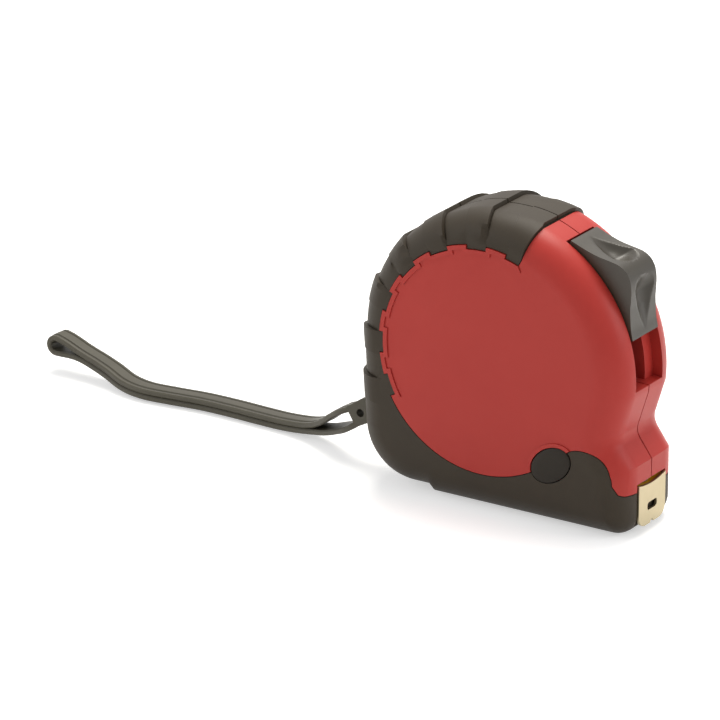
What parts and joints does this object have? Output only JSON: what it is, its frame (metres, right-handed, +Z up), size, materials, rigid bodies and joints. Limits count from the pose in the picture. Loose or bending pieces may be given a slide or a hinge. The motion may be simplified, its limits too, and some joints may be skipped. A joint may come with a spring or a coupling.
{
  "type": "pocket tape measure",
  "caption": "Pocket tape measure with a rubber-clad round case, thumb lock, side brake button, end hook, belt clip and moulded wrist strap.",
  "frame": {"origin": "on the sole, directly under the reel's axis and midway through the thickness", "axes": "+X the way the blade leaves the mouth, +Y through the thickness towards the belt clip, +Z up from the sole"},
  "size_m": [0.1887, 0.034, 0.0779],
  "materials": {
    "red_case": "red ABS with a fine satin sheen",
    "rubber_jacket": "dark warm grey moulded rubber",
    "lock_plastic": "dark grey-brown moulded plastic",
    "yellow_blade": "yellow lacquered spring steel, unmarked",
    "plated_steel": "warm plated steel",
    "spring_steel": "bare spring steel",
    "reel_plastic": "black moulded plastic",
    "strap_vinyl": "soft grey-brown moulded vinyl"
  },
  "bodies": {
    "case": {"case_right": "red_case", "case_left": "red_case", "jacket_right": "rubber_jacket", "jacket_left": "rubber_jacket", "spring_post": "plated_steel", "case_screw_1": "plated_steel", "case_screw_2": "plated_steel", "case_screw_3": "plated_steel", "case_screw_4": "plated_steel", "belt_clip": "plated_steel", "belt_clip_screw": "plated_steel", "strap_pin": "plated_steel", "strap_head": "strap_vinyl", "wrist_strap": "strap_vinyl"},
    "reel": {"reel_drum": "reel_plastic", "reel_cover": "reel_plastic", "mainspring": "spring_steel", "blade_coil": "yellow_blade"},
    "blade": {"blade_run": "yellow_blade", "hook_rivet_1": "plated_steel", "hook_rivet_2": "plated_steel"},
    "hook": {"end_hook": "plated_steel"},
    "lock": {"thumb_lock": "lock_plastic"},
    "button": {"brake_button": "rubber_jacket", "brake_spring": "spring_steel"}
  },
  "joints": [
    {"name": "reel_spin", "type": "hinge", "parent": "case", "child": "reel", "pos_m": [0, 0, 0.039], "axis": [0, 1, 0], "range_deg": [-63.66, 0], "stiffness_Nm_per_rad": 0.01, "springref_deg": 114.59},
    {"name": "blade_slide", "type": "slide", "parent": "case", "child": "blade", "axis": [1, 0, 0], "range_m": [0, 0.03]},
    {"name": "hook_play", "type": "slide", "parent": "blade", "child": "hook", "axis": [1, 0, 0], "range_m": [0, 0.0008]},
    {"name": "thumb_lock_slide", "type": "hinge", "parent": "case", "child": "lock", "pos_m": [0, 0, 0.039], "axis": [0, 1, 0], "range_deg": [0, 17]},
    {"name": "brake_press", "type": "slide", "parent": "case", "child": "button", "axis": [0, 1, 0], "range_m": [0, 0.0015], "stiffness_N_per_m": 400, "springref_m": -0.0008, "deforming": ["brake_spring"]}
  ],
  "couplings": [
    {"joint": "blade_slide", "follows": "reel_spin", "m_per_rad": -0.027}
  ]
}
